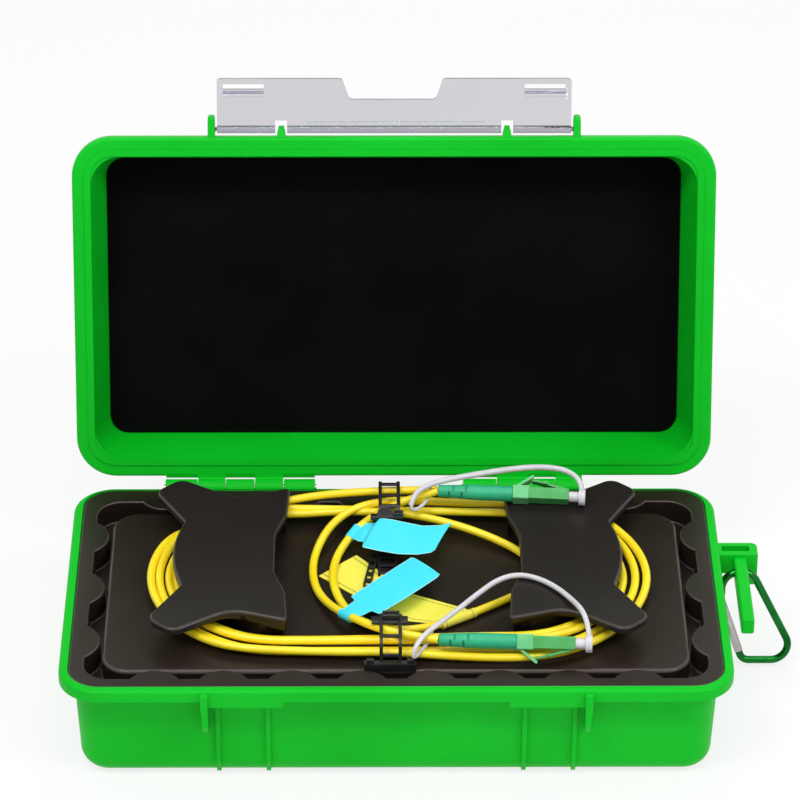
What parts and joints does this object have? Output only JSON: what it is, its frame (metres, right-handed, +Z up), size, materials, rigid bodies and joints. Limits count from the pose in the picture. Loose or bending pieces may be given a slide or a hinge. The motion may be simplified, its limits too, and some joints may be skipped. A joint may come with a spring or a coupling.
{
  "type": "otdr launch cable",
  "caption": "Hinged plastic case with a cable tray, wound yellow fibre pigtails ending in small latched plugs, a clear fold-over latch and a snap hook on its side.",
  "frame": {"origin": "middle of the base's bottom face, on the surface it stands on", "axes": "+X along the case towards the carrying bar, +Y towards the hinge, +Z up"},
  "size_m": [0.2672, 0.1987, 0.1896],
  "materials": {
    "green_plastic": "satin moulded",
    "black_plastic": "satin vacuum formed",
    "fibre_coating": "coated glass fibre",
    "clear_plastic": "clear moulded",
    "pin_steel": "drawn wire",
    "black_nylon": "moulded",
    "yellow_jacket": "extruded cable jacket",
    "cyan_label": "matt",
    "yellow_label": "matt",
    "white_plastic": "translucent moulded",
    "black_foam": "closed-cell foam",
    "green_aluminium": "anodised",
    "gate_steel": "turned",
    "teal_rubber": "soft moulded",
    "crimp_brass": "plain",
    "plug_green": "moulded",
    "ferrule_ceramic": "ground"
  },
  "bodies": {
    "base": {"base_shell": "green_plastic", "tray": "black_plastic", "wing_left": "black_plastic", "wing_right": "black_plastic", "fibre_ring": "fibre_coating", "splice_sleeve_a": "clear_plastic", "splice_sleeve_b": "clear_plastic", "hinge_pin_left": "pin_steel", "hinge_pin_right": "pin_steel", "tie_base_front": "black_nylon", "ladder_tie_front": "black_nylon", "ladder_tie_back": "black_nylon", "cable_coil_a": "yellow_jacket", "cable_coil_b": "yellow_jacket", "cable_lead_a": "yellow_jacket", "cable_lead_b": "yellow_jacket", "label_upper": "cyan_label", "label_lower": "cyan_label", "label_strip": "yellow_label", "cap_strap_a": "white_plastic", "cap_strap_b": "white_plastic", "boot_a": "teal_rubber", "crimp_sleeve_a": "crimp_brass", "rear_clip_a": "plug_green", "plug_housing_a": "plug_green", "ferrule_a": "ferrule_ceramic", "dust_cap_a": "white_plastic", "boot_b": "teal_rubber", "crimp_sleeve_b": "crimp_brass", "rear_clip_b": "plug_green", "plug_housing_b": "plug_green", "ferrule_b": "ferrule_ceramic", "dust_cap_b": "white_plastic"},
    "lid": {"lid_shell": "green_plastic", "lid_foam": "black_foam"},
    "latch_plate": {"latch": "clear_plastic"},
    "hook": {"snap_hook": "green_aluminium"},
    "gate": {"snap_gate": "gate_steel", "gate_rivet": "gate_steel"}
  },
  "joints": [
    {"name": "lid_hinge", "type": "hinge", "parent": "base", "child": "lid", "pos_m": [0, 0.0691, 0.0401], "axis": [1, 0, 0], "range_deg": [0, 106.5]},
    {"name": "latch_hinge", "type": "hinge", "parent": "lid", "child": "latch_plate", "pos_m": [0, 0.11527, 0.1692], "axis": [1, 0, 0], "range_deg": [0, 90]},
    {"name": "hook_swing", "type": "hinge", "parent": "base", "child": "hook", "pos_m": [0.1276, 0.0165, 0.03705], "axis": [-1, 0, 0], "range_deg": [-12, 40]},
    {"name": "gate_hinge", "type": "hinge", "parent": "hook", "child": "gate", "pos_m": [0.1208, 0.01411, 0.0258], "axis": [0, -0.9781, 0.2079], "range_deg": [0, 25], "stiffness_Nm_per_rad": 0.01, "springref_deg": -11.46}
  ]
}
